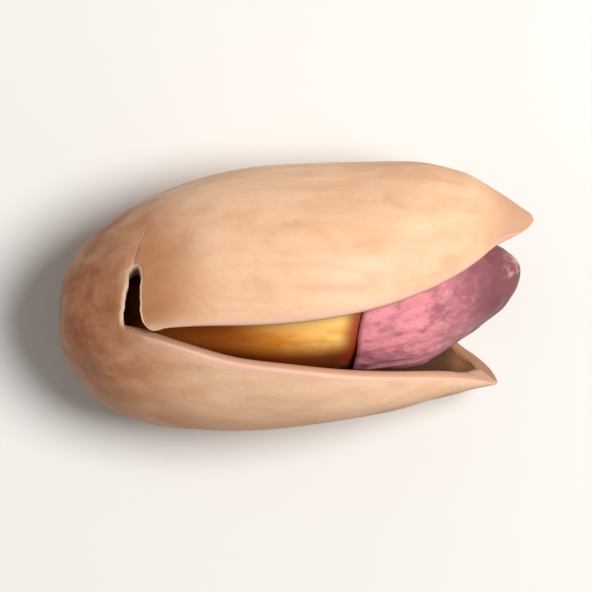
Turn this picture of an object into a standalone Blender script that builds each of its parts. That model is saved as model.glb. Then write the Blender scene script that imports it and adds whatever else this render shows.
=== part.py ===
"""A pistachio in its split shell: the shell, the kernel inside it and the skin left on the kernel.

The stem end is at -X and the beak at +X. The split faces up (+Z), leaning a little to -Y, and the nut
rests on a small flat on the far side. Lengths are in millimetres until they become vertices.
"""

import math

import bmesh
import bpy
import numpy as np

MM = 0.001

# The nut's own directions at a place along its length, from 0 at the stem end: "front" runs from the
# axis to the open suture, "back" to the closed one, and the two "sides" to the crowns of the two valves.

# Lengths of the two valves and of the upper one's body without its beak, and the stretch over which the
# lower one tapers faster
UPPER_LENGTH = 22.1
LOWER_LENGTH = 20.5
BODY_LENGTH = 21.0
LOWER_TAPER = (5.0, 18.0)

# Each swell is (greatest distance from the axis, its place as a share of the length, the powers that
# blunt its stem end and its far end)
FRONT_SWELL = (5.73, 0.55, 0.47, 0.76)
BACK_SWELL = (5.74, 0.50, 0.47, 0.60)
UPPER_SWELL = (5.62, 0.453, 0.56, 0.383)
LOWER_SWELL = (5.97, 0.264, 0.47, 1.0)

# The valves' thick tips, of which the upper one is the beak. Each is (length, the stretch over which it
# comes to stand out of the valve, and its reach to the front, to the back and to the crown)
BEAK = (3.15, (15.5, 19.8), (1.92, 1.56, 2.05))
LOWER_POINT = (0.9, (18.5, 19.8), (0.55, 0.55, 0.42))

# The split: where it starts on each suture, how far each valve has swung at its tip, and the curl there
FRONT_SPLIT_START = 3.45
BACK_SPLIT_START = 10.5
UPPER_OPENING = (0.95, 1.7)
LOWER_OPENING = (4.50, 3.1)
CURL_POWER = 9
SPLIT_SOFTNESS = 0.05

# The lower valve's back lip bows further out before the tip: (distance, where it rises, where it falls)
LOWER_BACK_BOW = (0.75, (12.5, 17.5), (18.6, 20.4))

# The wall at the crowns, at the sutures, at the stem end and behind the two tips, and the stretch before
# a tip over which it thickens
CROWN_WALL = 0.90
SUTURE_WALL = 0.62
STEM_WALL = 1.10
UPPER_TIP_WALL = 1.60
LOWER_TIP_WALL = 0.90
TIP_WALL_STRETCH = 3.6

# The crack across the upper valve, from the split's closed end: its place, and its width at either end
CRACK_PLACE = 3.62
CRACK_WIDTH = 0.78
CRACK_END_WIDTH = 0.36
CRACK_STEPS = 5
CRACK_WAVE = 0.10
CRACK_WAVE_STEP = 2.2

# The keel along both sutures and the stem scar
KEEL_HEIGHT = 0.12
KEEL_HALF_ANGLE = math.radians(14)
KEEL_RISE = (2.0, 5.0)
KEEL_FALL = (14.0, 19.0)
SCAR_RADIUS = 1.25
SCAR_DEPTH = 0.22

# The kernel: its ends, its reach to the front, to the back and to each side, how blunt it is toward the
# tip on each, and the round point of the tip itself (length, reach)
KERNEL_START = 2.9
KERNEL_END = 21.25
KERNEL_FRONT = 4.10
KERNEL_BACK = 4.35
KERNEL_SIDE = 3.90
KERNEL_PEAK = 0.50
KERNEL_ROUNDNESS = 0.50
KERNEL_UPPER_BLUNTNESS = 0.84
KERNEL_FACE_BLUNTNESS = 0.88
KERNEL_POINT = (1.3, 0.95)
KERNEL_POINT_RISE = (0.80, 0.95)

# The skin on the kernel: thickness, the gap under it, and its torn edge before and behind the bare
# window. Each wave of the edge is (height, waves in a turn, phase)
SKIN_THICKNESS = 0.22
SKIN_GAP = 0.08
SKIN_EDGE_AT_WINDOW = 14.0
SKIN_EDGE_BEHIND = 5.2
SKIN_EDGE_SLANT = 0.55
SKIN_EDGE_WAVES = ((0.16, 5, 0.0), (0.10, 11, 1.0))
WINDOW_CENTRE = math.radians(-30)
WINDOW_HALF_ANGLE = math.radians(62)
WINDOW_SHOULDER = math.radians(48)

# How the nut lies: its roll about its length, its lean in plan, and the depth of the flat it rests on
ROLL = math.radians(21.0)
LEAN = math.radians(4.35)
LEAN_CENTRE = 10.0
REST_DEPTH = 0.26

# Mesh steps: along the nut, and around half a turn or a whole one
SHELL_STEPS = 45
VALVE_STEPS = 24
KERNEL_STEPS = 26
KERNEL_TURN_STEPS = 40
SKIN_STEPS = 16


def smooth_step(x, start, end):
    """0 up to start and 1 from end, with a smooth rise between them."""
    share = np.clip((x - start) / (end - start), 0, 1)
    return share * share * (3 - 2 * share)


def swell(share, peak, rise, fall):
    """Half the width of an egg, 1 at its peak: an ellipse made sharper or blunter at each end."""
    share = np.clip(share, 0, 1)
    before = np.clip(1 - ((peak - share) / peak) ** 2, 0, 1) ** rise
    after = np.clip(1 - ((share - peak) / (1 - peak)) ** 2, 0, 1) ** fall
    return np.where(share < peak, before, after)


def placed(along, front, side):
    """Vertices from the nut's own directions: rolled about the length, then leaning in plan."""
    y = -front * math.sin(ROLL) + side * math.cos(ROLL) + (along - LEAN_CENTRE) * math.tan(LEAN)
    z = front * math.cos(ROLL) + side * math.sin(ROLL)
    return np.stack(np.broadcast_arrays(along, y, z), axis=-1)


def valve_reach(along, upper, inner):
    """The reach of a valve's outer or inner face to the front, to the back and to its crown."""
    suture_wall = SUTURE_WALL if inner else 0
    crown_wall = CROWN_WALL if inner else 0
    start = STEM_WALL if inner else 0
    shorter = 0 if upper else (BODY_LENGTH - LOWER_LENGTH) * smooth_step(along, *LOWER_TAPER)
    end = BODY_LENGTH - shorter
    if inner:
        end = end - (UPPER_TIP_WALL - (UPPER_LENGTH - BODY_LENGTH) if upper else LOWER_TIP_WALL)
    share = (along - start) / (end - start)
    crown = UPPER_SWELL if upper else LOWER_SWELL
    walls = (suture_wall, suture_wall, crown_wall)
    reach = []
    for (size, *bluntness), wall in zip((FRONT_SWELL, BACK_SWELL, crown), walls):
        reach.append((size - wall) * swell(share, *bluntness))
    return reach


def blended(body, left, length, size):
    """A reach with a blunt tip blended in: half an ellipse over its length, of which some is left."""
    tip = size * np.sqrt(np.clip(left / length, 0, None))
    return (body**4 + tip**4) ** 0.25


def with_tip(along, reach, upper):
    """A valve's outer reach to the front, back and crown with its thick tip."""
    length, (start, end), sizes = BEAK if upper else LOWER_POINT
    left = (UPPER_LENGTH if upper else LOWER_LENGTH) - along
    shown = smooth_step(along, start, end)
    return [blended(body, left, length, size * shown) for body, size in zip(reach, sizes)]


def opening(along, upper):
    """How far a valve has moved off the suture plane at the front: a swing, and a curl at the tip."""
    swing, curl = UPPER_OPENING if upper else LOWER_OPENING
    share = np.clip((along - FRONT_SPLIT_START) / (UPPER_LENGTH - FRONT_SPLIT_START), 0, None)
    soft_share = share**2 / (share + SPLIT_SOFTNESS) * (1 + SPLIT_SOFTNESS)
    return swing * soft_share + curl * share**CURL_POWER


def valve_points(along, angle, upper, inner):
    """Points on a valve's outer or inner face. The angle is 0 at the front suture and pi at the back."""
    front, back, crown = valve_reach(along, upper, inner)
    if not inner:
        front, back, crown = with_tip(along, (front, back, crown), upper)
        off_suture = np.minimum(angle, math.pi - angle) / KEEL_HALF_ANGLE
        keel = KEEL_HEIGHT * np.exp(-(off_suture**2))
        keel = keel * smooth_step(along, *KEEL_RISE) * (1 - smooth_step(along, *KEEL_FALL))
        front = front + keel
        back = back + keel
    end = UPPER_LENGTH if upper else LOWER_LENGTH
    at_front = opening(along, upper)
    at_back = at_front * smooth_step(along, BACK_SPLIT_START, end)
    if not upper:
        bow, rise, fall = LOWER_BACK_BOW
        at_back = at_back + bow * smooth_step(along, *rise) * (1 - smooth_step(along, *fall))
    front_share = (1 + np.cos(angle)) / 2
    moved = at_front * front_share + at_back * (1 - front_share)
    forward = np.where(np.cos(angle) > 0, front, back) * np.cos(angle)
    sideways = (crown * np.sin(angle) + moved) * (1 if upper else -1)
    if not inner:
        from_stem = np.hypot(forward, sideways)
        pit = SCAR_DEPTH * np.exp(-((from_stem / SCAR_RADIUS) ** 4))
        along = along + pit * (along < BODY_LENGTH / 4)
    return placed(along, forward, sideways)


def inner_along(along, upper):
    """Where a station of the outer face lands on the inner one, which stops short at both ends."""
    end = UPPER_LENGTH if upper else LOWER_LENGTH
    tip_wall = UPPER_TIP_WALL if upper else LOWER_TIP_WALL
    at_stem = STEM_WALL * np.clip(1 - along / CRACK_PLACE, 0, 1)
    return along + at_stem - tip_wall * smooth_step(along, end - TIP_WALL_STRETCH, end)


def shell_stations():
    """Places along both valves, closer at the ends, and the same up to the start of the back split."""
    upper = UPPER_LENGTH * (1 - np.cos(np.linspace(0, math.pi, SHELL_STEPS + 1))) / 2
    crack = int(np.argmin(abs(upper - CRACK_PLACE)))
    lower = upper - (UPPER_LENGTH - LOWER_LENGTH) * smooth_step(upper, BACK_SPLIT_START, UPPER_LENGTH)
    back_split = int(np.searchsorted(upper, BACK_SPLIT_START))
    return upper, lower, crack, back_split


def shell_sheet(inner):
    """The points of one face of the shell: the upper valve, the lower one, the crack's far edge."""
    upper_along, lower_along, crack, _ = shell_stations()
    angle = np.linspace(0, math.pi, VALVE_STEPS + 1)
    step = np.arange(VALVE_STEPS + 1)
    width = CRACK_WIDTH + (CRACK_END_WIDTH - CRACK_WIDTH) * step / (CRACK_STEPS - 1)
    half_width = np.where(step < CRACK_STEPS, width / 2, 0)
    wander = CRACK_WAVE * np.sin(CRACK_WAVE_STEP * step) * (step < CRACK_STEPS)
    sheets = []
    for upper, along in ((True, upper_along), (False, lower_along)):
        if inner:
            along = inner_along(along, upper)
        grid = np.repeat(along[:, None], len(angle), axis=1)
        if upper:
            far_edge = grid[crack] + half_width + wander
            grid[crack] += wander - half_width
        sheets.append(valve_points(grid, angle[None, :], upper, inner).reshape(-1, 3))
    sheets.append(valve_points(far_edge[:CRACK_STEPS], angle[:CRACK_STEPS], True, inner))
    return np.concatenate(sheets)


def sheet_faces():
    """The faces of one sheet as vertex numbers: two valves, joined at the stem end and the sutures."""
    _, _, crack, back_split = shell_stations()
    count = (SHELL_STEPS + 1) * (VALVE_STEPS + 1)
    upper = np.arange(count).reshape(SHELL_STEPS + 1, VALVE_STEPS + 1)
    lower = upper + count
    upper[0] = upper[0, 0]
    upper[-1] = upper[-1, 0]
    lower[0] = upper[0]
    lower[-1] = lower[-1, 0]
    lower[: crack + 1, 0] = upper[: crack + 1, 0]
    lower[: back_split + 1, -1] = upper[: back_split + 1, -1]
    past_crack = upper.copy()
    past_crack[crack, :CRACK_STEPS] = 2 * count + np.arange(CRACK_STEPS)
    faces = []
    for near, far in ((upper, past_crack), (lower, lower)):
        for i in range(SHELL_STEPS):
            rows = near if i < crack else far
            for j in range(VALVE_STEPS):
                corners = [rows[i, j], rows[i + 1, j], rows[i + 1, j + 1], rows[i, j + 1]]
                faces.append([int(c) for c in dict.fromkeys(corners)])
    return faces


def open_edges(faces):
    """The edges that only one face uses: the rim of an open sheet."""
    seen = {}
    for face in faces:
        for a, b in zip(face, face[1:] + face[:1]):
            key = (min(a, b), max(a, b))
            seen[key] = seen.get(key, 0) + 1
    return [edge for edge, uses in seen.items() if uses == 1]


def solid_between(outer, inner, faces):
    """The closed body between two sheets of the same faces, joined around their rim."""
    shift = len(outer)
    walls = [[a, b, b + shift, a + shift] for a, b in open_edges(faces)]
    return np.concatenate([outer, inner]), faces + [[c + shift for c in face] for face in faces] + walls


def kernel_points(along_share, angle, grow):
    """Points on the kernel, or grow outside it. The angle turns from the front to the upper side."""
    start = KERNEL_START - grow
    end = KERNEL_END + grow
    near = np.cos(angle)
    up = np.sin(angle)
    face = swell(along_share, KERNEL_PEAK, KERNEL_ROUNDNESS, KERNEL_FACE_BLUNTNESS)
    lower = swell(along_share, KERNEL_PEAK, KERNEL_ROUNDNESS, KERNEL_ROUNDNESS)
    upper = swell(along_share, KERNEL_PEAK, KERNEL_ROUNDNESS, KERNEL_UPPER_BLUNTNESS)
    length, size = KERNEL_POINT
    left = (end - start) * (1 - along_share)
    size = size * smooth_step(along_share, *KERNEL_POINT_RISE)
    forward_reach = np.where(near > 0, KERNEL_FRONT, KERNEL_BACK) + grow
    forward = blended(forward_reach * face, left, length, size)
    sideways = blended((KERNEL_SIDE + grow) * np.where(up > 0, upper, lower), left, length, size)
    return placed(start + (end - start) * along_share, forward * near, sideways * up)


def kernel_solid():
    share = (1 - np.cos(np.linspace(0, math.pi, KERNEL_STEPS + 1))) / 2
    angle = np.linspace(0, 2 * math.pi, KERNEL_TURN_STEPS, endpoint=False)
    points = kernel_points(share[:, None], angle[None, :], 0)
    return points.reshape(-1, 3), turned_faces(KERNEL_STEPS, KERNEL_TURN_STEPS, closed_start=True)


def turned_faces(steps, turn_steps, closed_start):
    """Faces of a sheet of rings that meet in a point at its end and, if closed_start, at its start."""
    ids = np.arange((steps + 1) * turn_steps).reshape(steps + 1, turn_steps)
    ids[-1] = ids[-1, 0]
    if closed_start:
        ids[0] = ids[0, 0]
    faces = []
    for i in range(steps):
        for j in range(turn_steps):
            k = (j + 1) % turn_steps
            corners = [ids[i, j], ids[i, k], ids[i + 1, k], ids[i + 1, j]]
            faces.append([int(c) for c in dict.fromkeys(corners)])
    return faces


def skin_edge(angle):
    """Where the skin's torn edge lies along the kernel: far from the stem end over the bare window."""
    off_window = abs((angle - WINDOW_CENTRE + math.pi) % (2 * math.pi) - math.pi)
    bare = 1 - smooth_step(off_window, WINDOW_HALF_ANGLE, WINDOW_HALF_ANGLE + WINDOW_SHOULDER)
    slant = SKIN_EDGE_SLANT * np.sin(angle - WINDOW_CENTRE)
    wave = sum(height * np.sin(count * angle + phase) for height, count, phase in SKIN_EDGE_WAVES)
    return SKIN_EDGE_BEHIND + (SKIN_EDGE_AT_WINDOW + slant - SKIN_EDGE_BEHIND) * bare + wave


def skin_solid():
    angle = np.linspace(0, 2 * math.pi, KERNEL_TURN_STEPS, endpoint=False)
    edge = (skin_edge(angle) - KERNEL_START) / (KERNEL_END - KERNEL_START)
    toward_tip = np.sin(np.linspace(0, math.pi / 2, SKIN_STEPS + 1))[:, None]
    share = edge + (1 - edge) * toward_tip
    inner = kernel_points(share, angle[None, :], SKIN_GAP).reshape(-1, 3)
    outer = kernel_points(share, angle[None, :], SKIN_GAP + SKIN_THICKNESS).reshape(-1, 3)
    return solid_between(outer, inner, turned_faces(SKIN_STEPS, KERNEL_TURN_STEPS, closed_start=False))


def add_material(name, colour, roughness):
    material = bpy.data.materials.new(name)
    material.use_nodes = True
    shader = material.node_tree.nodes["Principled BSDF"]
    shader.inputs["Base Color"].default_value = (*colour, 1)
    shader.inputs["Roughness"].default_value = roughness
    shader.inputs["Metallic"].default_value = 0
    return material


def add_object(name, points, faces, material, offset):
    """A smooth-shaded mesh object with its unused points dropped and its faces turned outward."""
    mesh = bpy.data.meshes.new(name)
    mesh.from_pydata(((points + offset) * MM).tolist(), [], faces)
    work = bmesh.new()
    work.from_mesh(mesh)
    bmesh.ops.delete(work, geom=[v for v in work.verts if not v.link_faces], context="VERTS")
    bmesh.ops.recalc_face_normals(work, faces=work.faces)
    work.to_mesh(mesh)
    work.free()
    mesh.shade_smooth()
    mesh.set_sharp_from_angle(angle=math.radians(40))
    mesh.materials.append(material)
    thing = bpy.data.objects.new(name, mesh)
    bpy.context.scene.collection.objects.link(thing)
    return thing


def cut_rest_flat(shell):
    """Cuts the shell's lowest outside level at the resting surface, Z = 0."""
    bpy.ops.mesh.primitive_cube_add(size=UPPER_LENGTH * MM, location=(0, 0, -UPPER_LENGTH / 2 * MM))
    cutter = bpy.context.active_object
    cutter.name = "rest_cutter"
    cutter.hide_render = True
    cutter.display_type = "WIRE"
    cut = shell.modifiers.new("rest_flat", "BOOLEAN")
    cut.operation = "DIFFERENCE"
    cut.solver = "EXACT"
    cut.object = cutter


def main():
    for thing in list(bpy.data.objects):
        bpy.data.objects.remove(thing, do_unlink=True)
    outer = shell_sheet(inner=False)
    lowest = outer.min(axis=0)
    highest = outer.max(axis=0)
    middle = (lowest + highest) / 2
    offset = np.array([-middle[0], -middle[1], -lowest[2] - REST_DEPTH])

    shell_colour = add_material("shell", (0.80, 0.53, 0.34), 0.60)
    kernel_colour = add_material("kernel", (0.72, 0.33, 0.08), 0.45)
    skin_colour = add_material("kernel_skin", (0.55, 0.19, 0.19), 0.65)

    points, faces = solid_between(outer, shell_sheet(inner=True), sheet_faces())
    shell = add_object("shell", points, faces, shell_colour, offset)
    cut_rest_flat(shell)
    points, faces = kernel_solid()
    add_object("kernel", points, faces, kernel_colour, offset)
    points, faces = skin_solid()
    add_object("kernel_skin", points, faces, skin_colour, offset)


main()
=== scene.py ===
# Dresses the pistachio: a fine shell, kernel and seed skin in place of the plain solids, on a pale floor.
# Shapes are worked out in millimetres along the nut's own directions and become metres in toMesh.
# "front" runs from the nut's axis to the open suture, "side" to the crown of the beaked valve.
import math
import bmesh
import bpy
import numpy as np
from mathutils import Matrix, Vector


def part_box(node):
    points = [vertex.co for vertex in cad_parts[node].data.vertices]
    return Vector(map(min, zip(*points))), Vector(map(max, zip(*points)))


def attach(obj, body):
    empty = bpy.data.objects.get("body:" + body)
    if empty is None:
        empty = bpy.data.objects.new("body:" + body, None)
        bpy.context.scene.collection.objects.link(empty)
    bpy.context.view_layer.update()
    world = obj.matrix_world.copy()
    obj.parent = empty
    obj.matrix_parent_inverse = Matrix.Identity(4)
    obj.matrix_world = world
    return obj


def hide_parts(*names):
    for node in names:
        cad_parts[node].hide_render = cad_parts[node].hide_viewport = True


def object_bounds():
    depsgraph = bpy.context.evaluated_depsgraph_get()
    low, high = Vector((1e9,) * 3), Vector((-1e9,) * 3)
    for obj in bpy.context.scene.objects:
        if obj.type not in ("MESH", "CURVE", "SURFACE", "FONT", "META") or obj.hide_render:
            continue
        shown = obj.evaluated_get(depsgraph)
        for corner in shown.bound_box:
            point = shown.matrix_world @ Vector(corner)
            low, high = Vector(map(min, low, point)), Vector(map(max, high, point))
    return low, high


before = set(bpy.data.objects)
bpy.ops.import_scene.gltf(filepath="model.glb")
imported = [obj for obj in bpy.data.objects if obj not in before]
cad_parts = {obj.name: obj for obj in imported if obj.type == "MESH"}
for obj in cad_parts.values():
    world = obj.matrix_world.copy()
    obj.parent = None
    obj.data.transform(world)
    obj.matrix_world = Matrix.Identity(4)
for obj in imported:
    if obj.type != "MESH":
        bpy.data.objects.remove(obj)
cadLow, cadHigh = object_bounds()
mm = 0.001


# Where the nut lies

lie = {
    "roll": math.radians(21.0),      # about its length
    "lean": math.radians(4.35),      # of its length in plan
    "leanCentre": 10.0,
}


# 0 up to start and 1 from end, with the curve 3t^2 - 2t^3 between them
def smoothStep(x, start, end):
    t = np.clip((x - start) / (end - start), 0, 1)
    return t * t * (3 - 2 * t)


# 1 at the middle, falling as exp(-(distance / width)^2)
def bump(x, middle, width):
    return np.exp(-(((x - middle) / width) ** 2))


# Half-width of an egg along its length: an ellipse before and after the peak, each to its own power
def swell(share, peak, rise, fall):
    share = np.clip(share, 0, 1)
    before = np.clip(1 - ((peak - share) / peak) ** 2, 0, 1) ** rise
    after = np.clip(1 - ((share - peak) / (1 - peak)) ** 2, 0, 1) ** fall
    return np.where(share < peak, before, after)


# A reach with a tip blended in: the root of the sum of both, each raised to a power
def blended(body, tip, power):
    return (np.clip(body, 0, None) ** power + tip ** power) ** (1 / power)


# Rolls the nut's directions about its length, then leans the length in plan
def placed(along, front, side):
    y = -front * math.sin(lie["roll"]) + side * math.cos(lie["roll"])
    y = y + (along - lie["leanCentre"]) * math.tan(lie["lean"])
    z = front * math.cos(lie["roll"]) + side * math.sin(lie["roll"])
    return np.stack(np.broadcast_arrays(along, y, z), axis=-1)


# Smooth seeded noise of about -1.5 to 1.5 at points: a sum of sine waves, each along its own random
# direction. Steps holds the shortest and longest wave in millimetres, stretch what x is divided by
def ripples(points, seed, count, steps, stretch=1.0):
    rng = np.random.default_rng(seed)
    total = 0
    for _ in range(count):
        way = rng.normal(size=3)
        way *= 2 * math.pi / rng.uniform(*steps) / np.linalg.norm(way)
        way[0] /= stretch
        total = total + np.sin(points @ way + rng.uniform(0, 2 * math.pi))
    return total * math.sqrt(2 / count)


# Ripples of a height, from a tuple of that height and what ripples takes
def relief(points, shape):
    height, *waves = shape
    return height * ripples(points, *waves)


# Four-cornered faces over a grid of point numbers
def gridFaces(ids):
    corners = [ids[:-1, :-1], ids[1:, :-1], ids[1:, 1:], ids[:-1, 1:]]
    return np.stack(corners, axis=-1).reshape(-1, 4)


# Vectors of length 1 along the given ones
def unit(vectors):
    return vectors / np.maximum(np.linalg.norm(vectors, axis=-1, keepdims=True), 1e-9)


# Each point's own normal on a grid: the cross product of its two slopes
def gridNormals(points):
    return unit(np.cross(np.gradient(points, axis=0), np.gradient(points, axis=1)))


# A closed mesh object from points in millimetres: unused points go, a face with a repeated corner becomes
# a triangle, and named values are kept on the points
def toMesh(name, points, faces, values):
    same = faces == np.roll(faces, -1, axis=1)
    pinched = same.any(axis=1)
    keep = (np.argmax(same[pinched], axis=1)[:, None] + 1 + np.arange(3)) % 4
    tris = np.take_along_axis(faces[pinched], keep, axis=1)
    used, index = np.unique(np.concatenate([faces[~pinched].ravel(), tris.ravel()]), return_inverse=True)
    quads = index[: -tris.size].reshape(-1, 4)
    tris = index[-tris.size :].reshape(-1, 3)
    mesh = bpy.data.meshes.new(name)
    mesh.from_pydata((points[used] * mm).tolist(), [], quads.tolist() + tris.tolist())
    for key, value in values.items():
        layer = mesh.attributes.new(key, "FLOAT", "POINT")
        layer.data.foreach_set("value", value[used].astype(np.float32))
    work = bmesh.new()
    work.from_mesh(mesh)
    bmesh.ops.recalc_face_normals(work, faces=work.faces)
    work.to_mesh(mesh)
    work.free()
    mesh.shade_smooth()
    mesh.set_sharp_from_angle(angle=math.radians(50))
    piece = bpy.data.objects.new(name, mesh)
    bpy.context.scene.collection.objects.link(piece)
    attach(piece, "root")
    print(f"scene: {name}, {len(mesh.polygons)} faces")
    return piece


# Shell

shell = {
    "upperLength": 22.1, "lowerLength": 20.5, "bodyLength": 21.0,
    "lowerTaper": (5.0, 18.0),
    # Each reach: its size, the share of the length where it is widest, and its bluntness at each end
    "front": (5.73, 0.55, 0.47, 0.76), "back": (5.74, 0.50, 0.47, 0.60),
    "upperCrown": (5.62, 0.453, 0.56, 0.383), "lowerCrown": (5.97, 0.264, 0.47, 1.0),
    "beak": (3.15, (15.5, 19.8), (1.92, 1.56, 2.05)),        # length, rise, reach each way
    "beakCrown": (1.15, 1.00, (18.3, 20.1)),                 # slope, roundness, where it takes over
    "droop": (0.24, (20.2, 22.1)),                           # how far the beak bends to the split
    "shoulder": (0.33, 17.3, 2.1),                           # how much fuller before the beak, and where
    "tipBlend": 4.0,
    "lowerPoint": (0.9, (18.5, 19.8), (0.55, 0.55, 0.42)),
    "frontSplit": 3.45, "backSplit": 10.5,
    "upperOpening": (0.95, 1.7), "lowerOpening": (4.50, 3.1),    # swing and curl
    "curlPower": 9, "splitSoftness": 0.05,
    "lowerBackBow": (0.75, (12.5, 17.5), (18.6, 20.4)),          # distance, rise and fall
    "crownWall": 0.90, "sutureWall": 0.62, "stemWall": 1.10,
    "upperTipWall": 1.60, "lowerTipWall": 0.90, "tipWallStretch": 3.6,
    "crackPlace": 3.62, "crackWidth": (0.90, 0.52), "crackReach": math.radians(41), "crackBlunt": 22,
    "crackWander": 0.06, "crackWaves": ((1.0, 9, 2.6), (0.35, 23, 1.0), (0.2, 51, 0.0)),
    "crackSpread": 1.7, "crackRound": 0.03, "flapCorner": (0.42, math.radians(9)),
    "hairline": (math.radians(72), 1.0),                     # where it ends, how far it has bent there
    "keel": 0.12, "keelAngle": math.radians(14), "keelRise": (2.0, 5.0), "keelFall": (14.0, 19.0),
    "scar": (1.25, 0.22),
    "stations": 150, "around": 92, "evenShare": 0.35, "rim": 8, "rimPasses": 4,
    "lipRound": 0.27, "lipRise": 5.0, "lipFall": 1.2,
    "tintRadius": 5.5, "lipTint": 0.30, "backTint": 0.20, "backLip": 0.3,
    "upperTrim": (0.26, 6.0, 3.2), "lowerTrim": (0.16, 8.6, 2.2),    # how far lips draw back, and where
    "trimRise": 1.2, "mostLip": 0.3, "leastReach": 0.5, "farOff": 9.0, "tintRise": (1, 2),
    # Raised detail: height, seed, number of waves, shortest and longest wave, stretch along the nut
    "lumps": (0.035, 3, 12, (3.0, 6.0), 1.6), "ridges": (0.014, 4, 24, (0.7, 1.6), 7.0),
    "innerRelief": 0.3, "calmEdge": 0.15, "calmStem": 1.5,
}


# Reach of a valve's outer or inner face to the front, the back and the crown. The beak's crown is the
# root of (slope x what is left)^2 + roundness x what is left, so nearly a straight line with a round end
def valveReach(along, upper, inner):
    s = shell
    start = s["stemWall"] if inner else 0
    end = s["bodyLength"]
    if not upper:
        end = end - (s["bodyLength"] - s["lowerLength"]) * smoothStep(along, *s["lowerTaper"])
    if inner:
        beakPast = s["upperLength"] - s["bodyLength"]
        end = end - (s["upperTipWall"] - beakPast if upper else s["lowerTipWall"])
    share = (along - start) / (end - start)
    crown = s["upperCrown"] if upper else s["lowerCrown"]
    walls = (s["sutureWall"], s["sutureWall"], s["crownWall"]) if inner else (0, 0, 0)
    reach = []
    for (size, *bluntness), wall in zip((s["front"], s["back"], crown), walls):
        reach.append((size - wall) * swell(share, *bluntness))
    if inner:
        return reach
    length, rise, sizes = s["beak"] if upper else s["lowerPoint"]
    left = (s["upperLength"] if upper else s["lowerLength"]) - along
    shown = smoothStep(along, *rise)
    root = np.sqrt(np.clip(left / length, 0, None))
    tipped = [blended(body, size * shown * root, s["tipBlend"]) for body, size in zip(reach, sizes)]
    if upper:
        height, *where = s["shoulder"]
        slope, roundness, stretch = s["beakCrown"]
        beak = np.sqrt((slope * left) ** 2 + roundness * np.clip(left, 0, None))
        share = smoothStep(along, *stretch)
        tipped[2] = (reach[2] + height * bump(along, *where)) * (1 - share) + beak * share
    return tipped


# How far a valve has moved off the suture plane at the front: swing x share of the way to the tip, plus
# curl x that share to a high power, with a soft start
def opening(along, upper):
    s = shell
    swing, curl = s["upperOpening"] if upper else s["lowerOpening"]
    share = np.clip((along - s["frontSplit"]) / (s["upperLength"] - s["frontSplit"]), 0, None)
    soft = share ** 2 / (share + s["splitSoftness"]) * (1 + s["splitSoftness"])
    return swing * soft + curl * share ** s["curlPower"]


# Points on a valve's outer or inner face: reach x cosine forward and crown x sine to the side, plus the
# opening, blended from front to back by (1 + cosine) / 2. The angle runs from 0, the front suture, to pi
def valvePoints(along, angle, upper, inner):
    s = shell
    front, back, crown = valveReach(along, upper, inner)
    if not inner:
        keel = s["keel"] * bump(np.minimum(angle, math.pi - angle), 0, s["keelAngle"])
        keel = keel * smoothStep(along, *s["keelRise"]) * (1 - smoothStep(along, *s["keelFall"]))
        front = front + keel
        back = back + keel
    atFront = opening(along, upper)
    if upper:
        droop, stretch = s["droop"]
        atFront = atFront - droop * smoothStep(along, *stretch)
    atBack = atFront * smoothStep(along, s["backSplit"], s["upperLength"] if upper else s["lowerLength"])
    if not upper:
        bow, rise, fall = s["lowerBackBow"]
        atBack = atBack + bow * smoothStep(along, *rise) * (1 - smoothStep(along, *fall))
    frontShare = (1 + np.cos(angle)) / 2
    moved = atFront * frontShare + atBack * (1 - frontShare)
    forward = np.where(np.cos(angle) > 0, front, back) * np.cos(angle)
    sideways = (crown * np.sin(angle) + moved) * (1 if upper else -1)
    if not inner:
        radius, depth = s["scar"]
        pit = depth * np.exp(-((np.hypot(forward, sideways) / radius) ** 4))
        along = along + pit * (along < s["bodyLength"] / 4)
    return placed(along, forward, sideways)


# Where a station of the outer face lands on the inner one: moved in at the stem end and behind the tip
def innerAlong(along, upper):
    s = shell
    end = s["upperLength"] if upper else s["lowerLength"]
    tipWall = s["upperTipWall"] if upper else s["lowerTipWall"]
    atStem = s["stemWall"] * np.clip(1 - along / s["crackPlace"], 0, 1)
    return along + atStem - tipWall * smoothStep(along, end - s["tipWallStretch"], end)


# The crack over the angle: half its width, blunt at its end, its path, which bends on as a hairline, and
# a quarter of an ellipse that rounds the corner between crack and lip
def crackShape(angle):
    s = shell
    share = angle / s["crackReach"]
    wide, narrow = s["crackWidth"]
    half = (wide + (narrow - wide) * np.clip(share, 0, 1)) / 2
    half = half * np.sqrt(np.clip(1 - share ** s["crackBlunt"], 0, None))
    end, bend = s["hairline"]
    waves = sum(height * np.sin(count * angle + phase) for height, count, phase in s["crackWaves"])
    path = s["crackWander"] * waves
    path = path + bend * smoothStep(angle, s["crackReach"] * 0.9, end * 1.1)
    size, reach = s["flapCorner"]
    corner = size * (1 - np.sqrt(1 - np.clip(1 - angle / reach, 0, 1) ** 2))
    return half, path * (1 - smoothStep(angle, end, end * 1.5)), corner


# How far each valve's edges draw back from a split, as an angle, for the rounded lips to fill
def lipHeight(along, upper, back):
    s = shell
    start = s["backSplit"] if back else s["crackPlace"]
    end = s["upperLength"] if upper else s["lowerLength"]
    risen = smoothStep(along, start, start + s["lipRise"])
    return s["lipRound"] * risen * smoothStep(end - along, 0, s["lipFall"])


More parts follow.
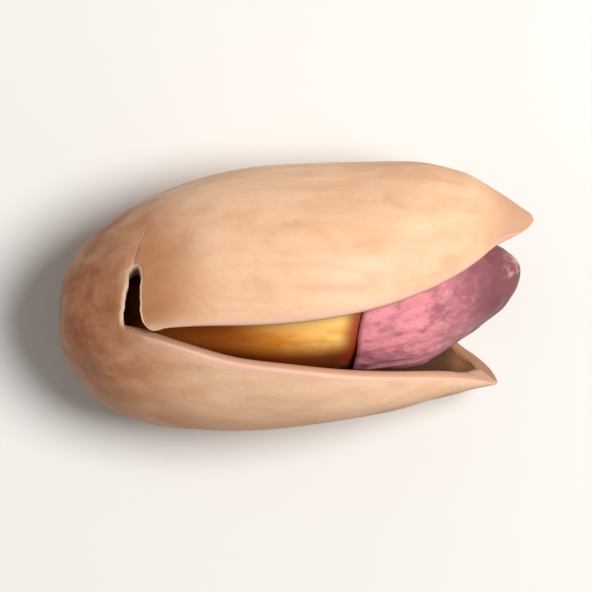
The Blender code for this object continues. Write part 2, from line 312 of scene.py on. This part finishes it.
# One face of the shell as three grids, the upper valve before and after the crack and the lower valve.
# Stations crowd toward both ends by a half cosine, and columns in part toward both sutures
def shellGrids(inner):
    s = shell
    upperAlong = s["upperLength"] * (1 - np.cos(np.linspace(0, math.pi, s["stations"] + 1))) / 2
    shorter = smoothStep(upperAlong, s["backSplit"], s["upperLength"])
    shorter = shorter * (s["upperLength"] - s["lowerLength"])
    crack = int(np.argmin(abs(upperAlong - s["crackPlace"])))
    even = np.linspace(0, 1, s["around"] + 1)
    dense = (1 - np.cos(math.pi * even)) / 2
    spread = math.pi * (s["evenShare"] * even + (1 - s["evenShare"]) * dense)
    grids = []
    sheets = ((True, -1, slice(0, crack + 1)), (True, 1, slice(crack, None)), (False, 0, slice(None)))
    for upper, side, rows in sheets:
        along = (upperAlong if upper else upperAlong - shorter)[rows, None]
        reach = valveReach(along, upper, inner)
        trim, middle, width = s["upperTrim" if upper else "lowerTrim"]
        trim = trim * bump(along, middle, width)
        if side <= 0:
            trim = trim * smoothStep(along, s["crackPlace"], s["crackPlace"] + s["trimRise"])
        lipFront = (lipHeight(along, upper, False) + trim) / np.maximum(reach[0], s["leastReach"])
        lipBack = lipHeight(along, upper, True) / np.maximum(reach[1], s["leastReach"])
        lipFront = np.minimum(lipFront, s["mostLip"])
        lipBack = np.minimum(lipBack, s["mostLip"])
        angle = lipFront + (math.pi - lipFront - lipBack) * spread[None, :] / math.pi
        fromCrack = np.abs(along - upperAlong[crack])
        off = np.full(angle.shape, s["farOff"])
        if inner:
            along = innerAlong(along, upper)
        if upper:
            half, path, corner = crackShape(angle - angle[:, :1])
            shift = path + side * half + (corner if side > 0 else 0)
            off = side * fromCrack + 0 * angle
            along = along + shift * (1 - smoothStep(fromCrack, 0, s["crackSpread"]))
        grids.append((along + 0 * angle, angle, upper, off))
    return grids, crack, int(np.searchsorted(spread, s["crackReach"])), upperAlong


# The whole shell: outer and inner sheets, joined along the closed sutures, with a rounded rim between
# their open edges
def shellMesh():
    s = shell
    flat = []
    faces = []
    for inner in (False, True):
        grids, crack, columns, upperAlong = shellGrids(inner)
        backSplit = int(np.searchsorted(upperAlong, s["backSplit"]))
        start = sum(len(part["points"]) for part in flat)
        ids = []
        for along, angle, upper, off in grids:
            points = valvePoints(along, angle, upper, inner)
            outward = gridNormals(points) * (1 if upper else -1)
            amount = relief(points, s["lumps"]) + relief(points, s["ridges"])
            amount = amount * (s["innerRelief"] if inner else 1) * smoothStep(along, 0, s["calmStem"])
            amount = amount * smoothStep(angle, 0, s["calmEdge"])
            amount = amount * smoothStep(math.pi - angle, 0, s["calmEdge"])
            points = points + outward * amount[..., None]
            ids.append(start + np.arange(angle.size).reshape(angle.shape))
            start += angle.size
            fromFront = s["tintRadius"] * (angle - angle[:, :1])
            fromBack = s["tintRadius"] * (angle[:, -1:] - angle)
            frontRise, backRise = s["tintRise"]
            openFront = smoothStep(along, s["crackPlace"], s["crackPlace"] + frontRise)
            openBack = smoothStep(along, s["backSplit"], s["backSplit"] + backRise)
            lip = np.maximum(
                bump(fromFront, 0, s["lipTint"]) * openFront,
                s["backLip"] * bump(fromBack, 0, s["lipTint"]) * openBack,
            )
            flat.append({
                "points": points.reshape(-1, 3),
                "inside": np.full(angle.size, float(inner)),
                "offCrack": off.ravel(),
                "angle": angle.ravel(),
                "along": along.ravel(),
                "lower": np.full(angle.size, float(not upper)),
                "lip": lip.ravel(),
                "brokenRim": np.zeros(angle.size),
                "backRim": (bump(fromBack, 0, s["backTint"]) * openBack).ravel(),
                "fromStem": np.linalg.norm(points - points[:1, :1] * [0, 1, 1], axis=-1).ravel(),
            })
        near, far, lower = ids
        near[0] = near[0, 0]
        far[-1] = far[-1, 0]
        lower[0] = near[0, 0]
        lower[-1] = lower[-1, 0]
        far[0, columns:] = near[-1, columns:]
        lower[: crack + 1, 0] = near[:, 0]
        lower[: crack + 1, -1] = near[:, -1]
        lower[crack : backSplit + 1, -1] = far[: backSplit - crack + 1, -1]
        faces += [gridFaces(grid) for grid in (near, far, lower)]
        # The open edge in order: the upper valve's back, its front, over the crack, then the lower valve
        closed = backSplit - crack
        edge = np.concatenate([
            far[closed:, -1], far[-2:0:-1, 0], far[0, :columns], near[-1, columns:0:-1],
            lower[crack:, 0], lower[-2:backSplit:-1, -1],
        ])
        beside = np.concatenate([
            far[closed:, -2], far[-2:0:-1, 1], far[1, :columns], near[-2, columns:0:-1],
            lower[crack:, 1], lower[-2:backSplit:-1, -2],
        ])
        beside[np.isin(edge, [far[-1, 0]])] = far[-2, s["around"] // 2]
        beside[np.isin(edge, [lower[-1, 0]])] = lower[-2, s["around"] // 2]
        if inner:
            innerEdge, innerBeside = edge, beside
        else:
            outerEdge, outerBeside = edge, beside
    points = np.concatenate([part["points"] for part in flat])
    values = {key: np.concatenate([part[key] for part in flat]) for key in flat[0] if key != "points"}

    # The rounded rim: half an ellipse from the outer edge to the inner one, raised off the sheet
    openUpper = len(far[closed:, -1]) + len(far[-2:0:-1, 0])
    order = np.arange(len(outerEdge))
    onLower = order >= openUpper + columns * 2
    onCrack = (order >= openUpper) & ~onLower
    wall = np.linalg.norm(points[innerEdge] - points[outerEdge], axis=1)
    alongs = values["along"][outerEdge]
    onBack = values["angle"][outerEdge] > math.pi / 2
    lift = np.where(
        onLower,
        np.where(onBack, lipHeight(alongs, False, True), lipHeight(alongs, False, False)),
        np.where(onBack, lipHeight(alongs, True, True), lipHeight(alongs, True, False)),
    )
    height = np.minimum(np.where(onCrack, s["crackRound"], lift), wall)
    off = unit(points[outerEdge] - points[outerBeside]) + unit(points[innerEdge] - points[innerBeside])
    off = unit(off)
    for _ in range(s["rimPasses"]):
        off = unit(np.roll(off, 1, axis=0) + 2 * off + np.roll(off, -1, axis=0))
    turn = np.linspace(0, math.pi, s["rim"] + 1)[None, 1:-1]
    share = (1 - np.cos(turn)) / 2
    arc = points[outerEdge][:, None] * (1 - share[..., None])
    arc = arc + points[innerEdge][:, None] * share[..., None]
    arc = arc + off[:, None] * (height[:, None] * np.sin(turn))[..., None]
    count = len(points)
    rimIds = count + np.arange(arc.shape[0] * arc.shape[1]).reshape(arc.shape[:2])
    rimIds = np.concatenate([outerEdge[:, None], rimIds, innerEdge[:, None]], axis=1)
    faces.append(gridFaces(np.concatenate([rimIds, rimIds[:1]])))
    rimValues = {}
    for key, value in values.items():
        rimValues[key] = np.repeat(value[outerEdge][:, None], arc.shape[1], axis=1)
    rimValues["inside"] = share + 0 * rimValues["inside"]
    rimValues["lip"][:] = np.where(onBack, s["backLip"], 1.0)[:, None]
    rimValues["backRim"][:] = onBack[:, None]
    rimValues["brokenRim"] = share * onCrack[:, None]
    points = np.concatenate([points, arc.reshape(-1, 3)])
    values = {key: np.concatenate([value, rimValues[key].ravel()]) for key, value in values.items()}
    return points, np.concatenate(faces), values


# The way into the frame, by the box of the plain shell
shellPoints, shellFaces, shellValues = shellMesh()
boxLow, boxHigh = (np.array(corner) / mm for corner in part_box("shell"))
used = shellPoints[np.unique(shellFaces)]
toFrame = (boxLow + boxHigh) / 2 - (used.min(axis=0) + used.max(axis=0)) / 2
toFrame[2] = boxHigh[2] - used[:, 2].max()


# Points in the frame, with whatever would lie under the surface flattened
def inFrame(points):
    moved = points + toFrame
    moved[..., 2] = np.maximum(moved[..., 2], 0)
    return moved


shellPiece = toMesh("shellFine", inFrame(shellPoints), shellFaces, shellValues)
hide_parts("shell")


# Kernel and the skin left on it

kernel = {
    "start": 2.9, "end": 21.25,
    "front": 4.10, "back": 4.35, "side": 3.90, "peak": 0.50,
    "round": 0.50, "upperBlunt": 0.84, "faceBlunt": 0.88,
    "point": (0.9, 0.72), "pointRise": (0.72, 0.95), "tipBlend": 2.6,
    "belly": (0.50, 17.0, 1.6),                              # how much fuller below, and where
    "rows": 170, "turns": 200,
    "lumps": (0.05, 11, 14, (3.5, 7.0), 1.5), "furrows": (0.018, 12, 20, (0.9, 2.0), 5.0),
    "sunk": 0.03, "underSkin": 0.08,                         # how much lower all over, and under skin
    "calmEnds": 0.05, "skinStep": 0.3,
}
skin = {
    "thickness": 0.22, "gap": 0.08,
    "edgeAtWindow": 13.93, "edgeBehind": 5.2, "slant": 0.45, "straightened": 0.75,
    "edgeWaves": ((0.16, 5, 0.0), (0.10, 11, 1.0), (0.025, 31, 2.0), (0.012, 67, 0.5)),
    "window": (math.radians(-30), math.radians(62), math.radians(48)),
    "rows": 120, "crowding": 1.3, "turns": 240,
    "thinEdge": (0.5, 0.7),                                  # share of the thickness, how far it goes
    "veins": (0.016, 21, 24, (0.9, 2.2), 3.0), "creases": (0.014, 22, 30, (0.45, 1.0), 1.8),
    "reliefRange": (-0.09, 0.06), "calmEdge": 0.4,
}


# Points on the kernel, or on a face that lies grow outside it: two egg half-widths over the length, with
# half an ellipse blended in at the tip. The angle turns from the front to the upper side
def kernelPoints(share, angle, grow):
    k = kernel
    length = k["end"] - k["start"] + 2 * grow
    near = np.cos(angle)
    up = np.sin(angle)
    face = swell(share, k["peak"], k["round"], k["faceBlunt"])
    lower = swell(share, k["peak"], k["round"], k["round"])
    upper = swell(share, k["peak"], k["round"], k["upperBlunt"])
    reach, size = k["point"]
    left = np.clip(length * (1 - share) / reach, 0, 1)
    tip = size * np.sqrt(1 - (1 - left) ** 2) * smoothStep(share, *k["pointRise"])
    forward = blended((np.where(near > 0, k["front"], k["back"]) + grow) * face, tip, k["tipBlend"])
    sideways = blended((k["side"] + grow) * np.where(up > 0, upper, lower), tip, k["tipBlend"])
    along = k["start"] - grow + length * share
    size, *where = k["belly"]
    sideways = sideways + np.where(up > 0, 0, size * bump(along, *where) * smoothStep(near, -0.6, 0.4))
    return placed(along, forward * near, sideways * up)


# How bare the kernel is at an angle: 1 in the window, 0 behind
def bareShare(angle):
    middle, half, shoulder = skin["window"]
    off = np.abs((angle - middle + math.pi) % (2 * math.pi) - math.pi)
    return 1 - smoothStep(off, half, half + shoulder)


# Where the skin's torn edge lies: a blend of two places plus waves
def skinEdge(angle):
    s = skin
    bare = bareShare(angle)
    wave = sum(height * np.sin(count * angle + phase) for height, count, phase in s["edgeWaves"])
    atWindow = s["edgeAtWindow"] + s["slant"] * np.sin(angle - s["window"][0])
    return s["edgeBehind"] + (atWindow - s["edgeBehind"]) * bare + wave * (1 - s["straightened"] * bare)


# Point numbers of a turned grid, whose last column is its first
def turnedIds(rows, turns, first):
    ids = first + np.arange(rows * turns).reshape(rows, turns)
    ids[-1] = ids[-1, 0]
    return np.concatenate([ids, ids[:, :1]], axis=1)


# The kernel: rings of its points, closer at both ends, plus relief and a step down under the skin
def kernelMesh():
    k = kernel
    share = (1 - np.cos(np.linspace(0, math.pi, k["rows"] + 1)))[:, None] / 2
    angle = np.linspace(0, 2 * math.pi, k["turns"], endpoint=False)[None, :]
    points = kernelPoints(share, angle, 0)
    outward = gridNormals(np.concatenate([points[:, -2:], points, points[:, :2]], axis=1))[:, 2:-2]
    amount = relief(points, k["lumps"]) + relief(points, k["furrows"]) - k["sunk"]
    along = k["start"] + (k["end"] - k["start"]) * share + 0 * angle
    pastEdge = along - skinEdge(angle)
    amount = amount * smoothStep(share, 0, k["calmEnds"]) * (1 - smoothStep(share, 1 - k["calmEnds"], 1))
    amount = amount - k["underSkin"] * smoothStep(pastEdge, -k["skinStep"], k["skinStep"])
    points = points + outward * amount[..., None]
    ids = turnedIds(k["rows"] + 1, k["turns"], 0)
    ids[0] = ids[0, 0]
    values = {
        "along": along, "pastEdge": pastEdge, "bare": bareShare(angle) + 0 * share,
        "turn": np.sin(angle) + 0 * share,
    }
    return points.reshape(-1, 3), gridFaces(ids), {key: value.ravel() for key, value in values.items()}


# The skin: an inner and an outer face grown off the kernel, joined by a rim at the torn edge
def skinMesh():
    s = skin
    k = kernel
    angle = np.linspace(0, 2 * math.pi, s["turns"], endpoint=False)[None, :]
    edge = (skinEdge(angle) - k["start"]) / (k["end"] - k["start"])
    toward = np.sin(np.linspace(0, math.pi / 2, s["rows"] + 1))[:, None] ** s["crowding"]
    share = edge + (1 - edge) * toward
    along = k["start"] + (k["end"] - k["start"]) * share
    pastEdge = along - skinEdge(angle)
    inner = kernelPoints(share, angle, s["gap"])
    thin, reach = s["thinEdge"]
    thickness = thin + (1 - thin) * smoothStep(pastEdge, 0, reach)
    outer = inner + (kernelPoints(share, angle, s["gap"] + s["thickness"]) - inner) * thickness[..., None]
    outward = gridNormals(np.concatenate([outer[:, -2:], outer, outer[:, :2]], axis=1))[:, 2:-2]
    height, *waves = s["veins"]
    veins = 1 - 2 * np.abs(ripples(outer, *waves))
    amount = np.clip(height * veins + relief(outer, s["creases"]), *s["reliefRange"])
    amount = amount * (1 - smoothStep(share, 1 - k["calmEnds"], 1))
    amount = amount * smoothStep(pastEdge, 0, s["calmEdge"])
    outer = outer + outward * amount[..., None]
    ids = turnedIds(s["rows"] + 1, s["turns"], 0)
    innerIds = turnedIds(s["rows"] + 1, s["turns"], outer.shape[0] * outer.shape[1])
    rim = gridFaces(np.stack([ids[0], innerIds[0]]))
    points = np.concatenate([outer.reshape(-1, 3), inner.reshape(-1, 3)])
    values = {"along": along, "pastEdge": pastEdge, "veins": veins, "turn": np.sin(angle) + 0 * share}
    faces = np.concatenate([gridFaces(ids), gridFaces(innerIds), rim])
    return points, faces, {key: np.tile(value.ravel(), 2) for key, value in values.items()}


kernelSpots, kernelFaces, kernelValues = kernelMesh()
kernelPiece = toMesh("kernelFine", inFrame(kernelSpots), kernelFaces, kernelValues)
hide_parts("kernel")
skinSpots, skinFaces, skinValues = skinMesh()
skinPiece = toMesh("skinFine", inFrame(skinSpots), skinFaces, skinValues)
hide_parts("kernel_skin")


# Materials

# A colour as a screen shows it, 0 to 255, as the shader's linear one
def colour(*levels):
    shown = np.array(levels) / 255
    linear = np.where(shown < 0.04045, shown / 12.92, ((shown + 0.055) / 1.055) ** 2.4)
    return (*linear.tolist(), 1)


# Adds a node with its settings and sockets. A socket's value may be another node's output
def add(tree, kind, sockets=None, **settings):
    made = tree.nodes.new("ShaderNode" + kind)
    for key, value in settings.items():
        setattr(made, key, value)
    for place, value in (sockets or {}).items():
        if isinstance(value, bpy.types.NodeSocket):
            tree.links.new(value, made.inputs[place])
        else:
            made.inputs[place].default_value = value
    return made


# A new material: its tree, its main shader and its place in millimetres
def startMaterial(name, roughness):
    material = bpy.data.materials.new(name)
    material.use_nodes = True
    tree = material.node_tree
    shader = tree.nodes["Principled BSDF"]
    shader.inputs["Roughness"].default_value = roughness
    return material, tree, shader, add(tree, "TexCoord").outputs["Object"]


# Noise of 0 to 1, where size is its grain in millimetres each way
def noise(tree, place, size, detail=3.0, distortion=0.0):
    shares = [1 / (mm * step) for step in size]
    scaled = add(tree, "VectorMath", {0: place, 1: shares}, operation="MULTIPLY")
    sockets = {"Vector": scaled.outputs[0], "Scale": 1.0, "Detail": detail, "Distortion": distortion}
    return add(tree, "TexNoise", sockets).outputs[0]


# A value kept on the mesh's points
def kept(tree, name):
    return add(tree, "Attribute", attribute_name=name).outputs["Fac"]


# Carries value from one range smoothly to another
def fade(tree, value, low, high, start=0.0, end=1.0):
    sockets = {"Value": value, "From Min": low, "From Max": high, "To Min": start, "To Max": end}
    return add(tree, "MapRange", sockets, interpolation_type="SMOOTHSTEP").outputs[0]


def maths(tree, operation, a, b):
    return add(tree, "Math", {0: a, 1: b}, operation=operation).outputs[0]


# The product of several values
def product(tree, first, *others):
    for other in others:
        first = maths(tree, "MULTIPLY", first, other)
    return first


def mixed(tree, share, a, b, mode="MIX"):
    return add(tree, "Mix", {0: share, 6: a, 7: b}, data_type="RGBA", blend_type=mode).outputs[2]


# Raised detail: height 0 to 1 over that many millimetres
def raised(tree, shader, height, depth, strength=1.0):
    made = add(tree, "Bump", {"Height": height, "Distance": depth * mm, "Strength": strength})
    tree.links.new(made.outputs[0], shader.inputs["Normal"])


shellLook = {
    "cream": colour(234, 190, 154), "tan": colour(208, 156, 116), "warm": colour(222, 168, 128),
    "pale": colour(238, 202, 164), "tip": colour(198, 150, 120), "under": colour(176, 118, 78),
    "stem": colour(146, 72, 22), "scar": colour(104, 52, 26), "blush": colour(196, 122, 70),
    "lip": colour(224, 180, 158), "rim": colour(206, 154, 126),
    "inside": colour(156, 110, 74), "insideShadow": colour(84, 48, 32),
    "broken": colour(240, 212, 186), "dark": colour(92, 52, 30),
    "roughness": 0.50, "specular": 0.22,
    # Noises: grain each way in millimetres, detail and distortion
    "streaks": ((7.0, 0.8, 0.8), 5.0, 0.5), "patches": ((3.6, 2.4, 2.4), 4.0, 0.6),
    "clouds": ((1.5, 1.0, 1.0), 3.0, 0.4), "blotches": ((2.2, 1.2, 1.2), 5.0, 0.2),
    "grain": ((0.30, 0.16, 0.16), 3.0),
}


# Cream over tan in streaks along the nut, browner at the stem end, paler on the lips and along the crack,
# with a brown scar at the stem end.
# Painted shade: browner toward the beak tip and on the lower valve's downward side, a darker inside with
# a deeper painted shadow, the back lip and the crack's walls
def shellMaterial():
    look = shellLook
    material, tree, shader, place = startMaterial("shellLook", look["roughness"])
    streaks = noise(tree, place, *look["streaks"])
    patches = noise(tree, place, *look["patches"])
    clouds = noise(tree, place, *look["clouds"])
    grain = noise(tree, place, *look["grain"])
    blotches = noise(tree, place, *look["blotches"])
    along = kept(tree, "along")
    angle = kept(tree, "angle")
    off = kept(tree, "offCrack")
    base = mixed(tree, fade(tree, streaks, 0.40, 0.72, 0, 0.40), look["cream"], look["tan"])
    base = mixed(tree, fade(tree, patches, 0.46, 0.72, 0, 0.60), base, look["warm"])
    base = mixed(tree, fade(tree, clouds, 0.52, 0.72, 0, 0.28), base, look["tan"])
    base = mixed(tree, fade(tree, clouds, 0.46, 0.28, 0, 0.35), base, look["pale"])
    atStem = fade(tree, along, 7.8, 0.8)
    blushed = product(tree, atStem, fade(tree, clouds, 0.40, 0.62, 0.1, 0.6))
    base = mixed(tree, blushed, base, look["blush"])
    blotched = product(tree, atStem, fade(tree, blotches, 0.34, 0.66, 0.65, 1.0), 0.88)
    base = mixed(tree, blotched, base, look["stem"])
    ragged = maths(tree, "ADD", kept(tree, "fromStem"), product(tree, clouds, 0.7))
    base = mixed(tree, fade(tree, ragged, 2.1, 1.0, 0, 0.65), base, look["scar"])
    # Painted shade: browner toward the beak tip
    base = mixed(tree, fade(tree, along, 19.4, 21.2, 0, 0.90), base, look["tip"])
    # Painted shade: the lower valve's downward side mixed toward the under colour
    lowerSideShade = product(tree, fade(tree, angle, 0.45, 1.10, 0, 0.80), fade(tree, angle, 2.7, 1.3))
    base = mixed(tree, product(tree, kept(tree, "lower"), lowerSideShade), base, look["under"])
    base = mixed(tree, fade(tree, grain, 0.35, 0.75, 0, 0.14), base, look["tan"])
    base = mixed(tree, fade(tree, kept(tree, "lip"), 0.1, 1.0, 0, 0.65), base, look["lip"])
    inside = kept(tree, "inside")
    # The inside: tan darkened as painted shade, with a deeper painted shadow from about 13.5 mm that
    # lifts again near the tip
    inner = mixed(tree, fade(tree, streaks, 0.35, 0.65, 0, 0.5), look["inside"], look["tan"])
    inner = mixed(tree, fade(tree, along, 13.5, 16.5, 0, 0.92), inner, look["insideShadow"])
    inner = mixed(tree, fade(tree, along, 18.0, 19.0, 0, 0.80), inner, look["inside"])
    base = mixed(tree, fade(tree, inside, 0.02, 0.15), base, look["rim"])
    base = mixed(tree, fade(tree, inside, 0.80, 1.0), base, inner)
    # Painted shade: the back lip mixed toward the inside colour
    base = mixed(tree, product(tree, kept(tree, "backRim"), 0.75), base, look["inside"])
    # At the crack: a stain on the flap, a patch toward the stem, a pale broken edge, walls darkened as
    # painted shade and the dark hairline
    stain = product(
        tree, fade(tree, off, 4.2, 0.6, 0, 0.75), fade(tree, off, -0.4, 0.0),
        fade(tree, angle, 1.3, 0.7), fade(tree, angle, 0.0, 0.25),
    )
    base = mixed(tree, stain, base, look["under"])
    patch = product(
        tree, fade(tree, off, -2.4, -0.9, 0, 0.30), fade(tree, off, -0.2, -0.6),
        fade(tree, angle, 1.2, 0.6), fade(tree, angle, 0.0, 0.3),
    )
    base = mixed(tree, patch, base, look["scar"])
    pale = product(
        tree, fade(tree, off, -0.26, -0.04), fade(tree, off, 0.10, 0.02),
        fade(tree, angle, 0.85, 0.66, 0.15, 1.0), fade(tree, angle, 1.25, 0.9),
        fade(tree, angle, 0.02, 0.14), fade(tree, clouds, 0.3, 0.6, 0.5, 0.9),
    )
    base = mixed(tree, pale, base, look["broken"])
    # Painted shade: the crack's walls darker toward the inside
    base = mixed(tree, fade(tree, kept(tree, "brokenRim"), 0.05, 0.6, 0, 0.8), base, look["dark"])
    pastSlot = product(tree, fade(tree, angle, 0.65, 0.85), fade(tree, angle, 1.25, 0.8))
    line = product(tree, fade(tree, maths(tree, "ABSOLUTE", off, 0), 0.08, 0.02), pastSlot)
    base = mixed(tree, product(tree, line, 0.35), base, look["dark"])
    tree.links.new(base, shader.inputs["Base Color"])
    shader.inputs["Specular IOR Level"].default_value = look["specular"]
    rough = fade(tree, patches, 0.3, 0.7, look["roughness"] - 0.06, look["roughness"] + 0.1)
    tree.links.new(rough, shader.inputs["Roughness"])
    height = maths(tree, "ADD", product(tree, streaks, 0.7), product(tree, grain, 0.3))
    raised(tree, shader, maths(tree, "SUBTRACT", height, product(tree, line, 0.45)), 0.06, 0.8)
    return material


kernelLook = {
    "yellow": colour(250, 168, 62), "gold": colour(226, 130, 42), "brown": colour(150, 72, 24),
    "band": colour(160, 60, 30), "pale": colour(255, 210, 122), "under": colour(118, 40, 10),
    "roughness": 0.36, "specular": 0.26,
    "subsurface": 0.35, "subsurfaceRadius": (1.0, 0.55, 0.2), "subsurfaceScale": 1.2,
    "cells": ((1.6, 0.6, 0.6), 4.0, 0.5), "grain": ((0.22, 0.14, 0.14), 2.0),
}


# Yellow in the window and dark beside the torn skin. Painted light and shade: paler from about 10 mm on
# and along the top, browner to the stem end and under the lips, dark red-brown on the lower side
def kernelMaterial():
    look = kernelLook
    material, tree, shader, place = startMaterial("kernelLook", look["roughness"])
    cells = noise(tree, place, *look["cells"])
    grain = noise(tree, place, *look["grain"])
    along = kept(tree, "along")
    turn = kept(tree, "turn")
    base = mixed(tree, fade(tree, cells, 0.35, 0.70, 0, 0.8), look["yellow"], look["gold"])
    # Painted light: paler from about 10 mm on
    paintedLight = product(tree, fade(tree, along, 9.8, 12.8), fade(tree, cells, 0.70, 0.30, 0.4, 1.0))
    base = mixed(tree, paintedLight, base, look["pale"])
    # Painted shade: browner toward the stem end
    base = mixed(tree, fade(tree, along, 12.2, 7.2, 0, 0.92), base, look["brown"])
    # Painted highlight: paler along the top
    topHighlight = product(tree, fade(tree, turn, -0.28, -0.06, 0, 0.8), fade(tree, along, 8.0, 11.5))
    base = mixed(tree, topHighlight, base, look["pale"])
    # Painted shade: dark red-brown on the lower side
    base = mixed(tree, fade(tree, turn, -0.34, -0.60, 0, 0.95), base, look["under"])
    # Painted shade: browner at the window's sides, under the lips
    base = mixed(tree, fade(tree, kept(tree, "bare"), 0.9, 0.3, 0, 0.8), base, look["brown"])
    base = mixed(tree, fade(tree, kept(tree, "pastEdge"), -1.0, -0.15, 0, 0.95), base, look["band"])
    tree.links.new(base, shader.inputs["Base Color"])
    tree.links.new(fade(tree, cells, 0.3, 0.7, 0.32, 0.46), shader.inputs["Roughness"])
    shader.inputs["Specular IOR Level"].default_value = look["specular"]
    shader.inputs["Subsurface Weight"].default_value = look["subsurface"]
    shader.inputs["Subsurface Radius"].default_value = look["subsurfaceRadius"]
    shader.inputs["Subsurface Scale"].default_value = look["subsurfaceScale"] * mm
    raised(tree, shader, maths(tree, "ADD", cells, product(tree, grain, 0.3)), 0.05, 0.6)
    return material


skinLook = {
    "pink": colour(226, 136, 146), "purple": colour(146, 78, 88), "pale": colour(228, 170, 172),
    "deepShade": colour(112, 58, 62), "edge": colour(120, 44, 40), "crumb": colour(226, 190, 160),
    "roughness": 0.55, "sheen": 0.08,
    "blotches": ((1.2, 0.8, 0.8), 4.0, 0.2), "fibres": ((0.60, 0.35, 0.35), 4.0, 0.1),
    "flecks": ((0.35, 0.2, 0.2), 3.0),
}


# Pink with paler raised veins, purple toward the tip, partly painted shade, with a few pale crumbs, a
# painted highlight along the lower side with painted shade beneath it, and a darker torn edge
def skinMaterial():
    look = skinLook
    material, tree, shader, place = startMaterial("skinLook", look["roughness"])
    blotches = noise(tree, place, *look["blotches"])
    fibres = noise(tree, place, *look["fibres"])
    flecks = noise(tree, place, *look["flecks"])
    along = kept(tree, "along")
    turn = kept(tree, "turn")
    base = mixed(tree, fade(tree, blotches, 0.44, 0.68, 0, 0.75), look["pink"], look["purple"])
    # Purple toward the tip: partly the skin's own colour, partly painted shade
    base = mixed(tree, fade(tree, along, 16.6, 19.0, 0, 0.78), base, look["purple"])
    base = mixed(tree, fade(tree, kept(tree, "veins"), 0.0, 1.0, 0, 0.12), base, look["pale"])
    base = mixed(tree, fade(tree, fibres, 0.50, 0.78, 0, 0.50), base, look["pale"])
    # Painted highlight: a pale band along the lower side
    rimHighlight = product(tree, fade(tree, turn, -0.50, -0.72), fade(tree, turn, -0.98, -0.84))
    base = mixed(tree, product(tree, rimHighlight, fade(tree, along, 15.5, 18.0, 0, 0.18)), base, look["pale"])
    # Painted shade on the underside, and a deeper tip that is partly the skin's own colour and partly
    # painted shade
    base = mixed(tree, fade(tree, turn, -0.90, -0.99, 0, 0.7), base, look["deepShade"])
    base = mixed(tree, fade(tree, along, 18.2, 20.2, 0, 0.85), base, look["deepShade"])
    base = mixed(tree, fade(tree, flecks, 0.52, 0.72, 0, 0.35), base, look["purple"])
    crumbs = product(tree, fade(tree, along, 20.3, 21.0), fade(tree, turn, -0.10, 0.15))
    crumbs = product(tree, crumbs, fade(tree, fibres, 0.35, 0.70, 0.0, 0.55))
    base = mixed(tree, crumbs, base, look["crumb"])
    base = mixed(tree, fade(tree, kept(tree, "pastEdge"), 0.25, 0.0, 0, 0.85), base, look["edge"])
    tree.links.new(base, shader.inputs["Base Color"])
    tree.links.new(fade(tree, fibres, 0.3, 0.7, 0.58, 0.78), shader.inputs["Roughness"])
    shader.inputs["Sheen Weight"].default_value = look["sheen"]
    raised(tree, shader, maths(tree, "ADD", fibres, product(tree, flecks, 0.4)), 0.07, 0.8)
    return material


shellPiece.data.materials.append(shellMaterial())
kernelPiece.data.materials.append(kernelMaterial())
skinPiece.data.materials.append(skinMaterial())
print("scene: materials ready")


# Floor, light and camera

studio = {
    "floorSize": 3.0, "floor": colour(230, 227, 222), "floorDrift": colour(224, 221, 216),
    "world": 0.28,
    "key": ((0.12, 0.02, 0.24), 0.12, 0.78),       # place, size, power
    "fill": ((-0.20, 0.10, 0.20), 0.20, 0.02),
    "floorGap": 0.00002,
    "distance": 0.50, "nutShare": 0.80, "sensor": 36.0,
    "drift": ((60.0, 60.0, 60.0), 2.0), "floorRoughness": 0.85,
}


# A pale floor whose colour drifts a little, so that it isn't one flat tone
def addFloor():
    half = studio["floorSize"] / 2
    mesh = bpy.data.meshes.new("floor")
    corners = np.array([(-half, -half), (half, -half), (half, half), (-half, half)])
    under = np.full((4, 1), -studio["floorGap"])
    mesh.from_pydata(np.hstack([corners, under]).tolist(), [], [(0, 1, 2, 3)])
    floor = bpy.data.objects.new("floor", mesh)
    bpy.context.scene.collection.objects.link(floor)
    material, tree, shader, place = startMaterial("floorLook", studio["floorRoughness"])
    drift = noise(tree, place, *studio["drift"])
    base = mixed(tree, fade(tree, drift, 0.3, 0.7, 0, 0.6), studio["floor"], studio["floorDrift"])
    tree.links.new(base, shader.inputs["Base Color"])
    mesh.materials.append(material)


# A round lamp turned toward the nut
def addLamp(name, place, size, power):
    lamp = bpy.data.lights.new(name, "AREA")
    lamp.shape = "DISK"
    lamp.size = size
    lamp.energy = power
    thing = bpy.data.objects.new(name, lamp)
    thing.location = place
    thing.rotation_euler = Vector(place).to_track_quat("Z", "Y").to_euler()
    bpy.context.scene.collection.objects.link(thing)


addFloor()
addLamp("key", *studio["key"])
addLamp("fill", *studio["fill"])
world = bpy.data.worlds.new("studio")
world.use_nodes = True
world.node_tree.nodes["Background"].inputs["Color"].default_value = (1, 1, 1, 1)
world.node_tree.nodes["Background"].inputs["Strength"].default_value = studio["world"]
bpy.context.scene.world = world
bpy.context.scene.view_settings.view_transform = "Standard"

# The camera looks straight down with the stem end at the left, as the photograph does
lens = bpy.data.cameras.new("camera")
lens.sensor_width = studio["sensor"]
lens.lens = studio["sensor"] * studio["distance"] * studio["nutShare"] / (cadHigh.x - cadLow.x)
lens.clip_start = 0.01
lens.clip_end = 10
camera = bpy.data.objects.new("camera", lens)
middle = (cadLow + cadHigh) / 2
camera.location = (middle.x, middle.y, middle.z + studio["distance"])
bpy.context.scene.collection.objects.link(camera)
bpy.context.scene.camera = camera

print("scene: ready")
